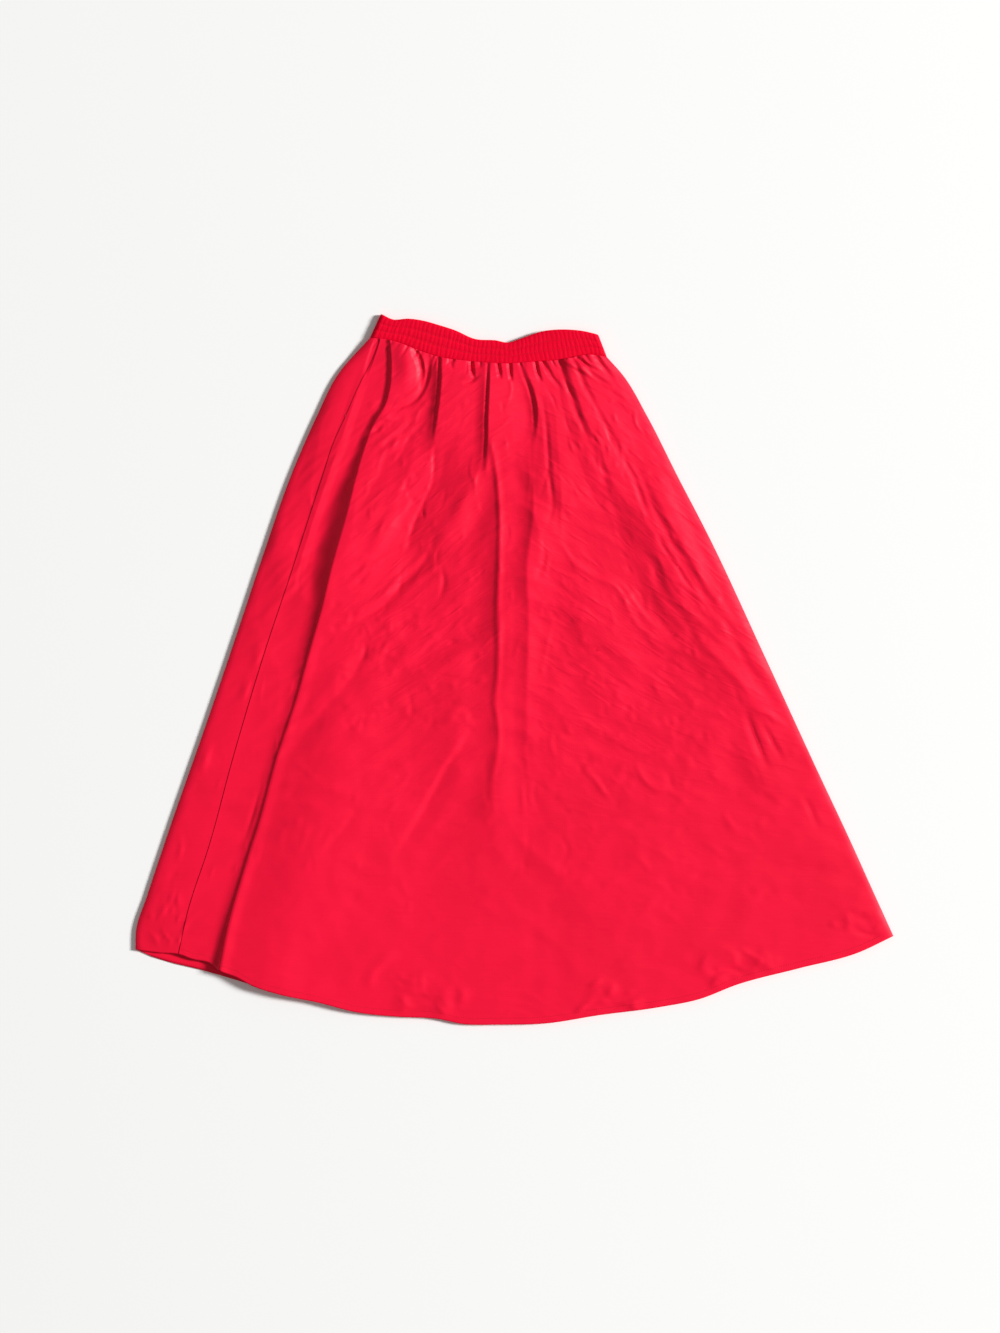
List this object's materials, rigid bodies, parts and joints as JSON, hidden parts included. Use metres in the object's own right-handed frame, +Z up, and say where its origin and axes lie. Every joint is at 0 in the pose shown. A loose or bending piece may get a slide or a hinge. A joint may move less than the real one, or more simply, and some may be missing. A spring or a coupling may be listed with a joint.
{
  "type": "a-line skirt",
  "caption": "Long gathered A-line pull-on skirt with a ribbed elastic waistband, laid flat on a surface, front side up.",
  "frame": {"origin": "centre of the laid skirt's outline, on the surface that it lies on", "axes": "+Z up from the surface, +Y from hem to waistband, +X to the right seen from above"},
  "size_m": [1.053, 0.9873, 0.0204],
  "materials": {
    "skirt_cloth": "smooth red taffeta with a soft sheen and fine creases",
    "band_cloth": "the same red taffeta gathered over elastic, with fine upright ribs and stitch rows"
  },
  "bodies": {
    "root": {"front_panel": "skirt_cloth", "back_panel": "skirt_cloth", "waistband": "band_cloth"}
  },
  "joints": []
}
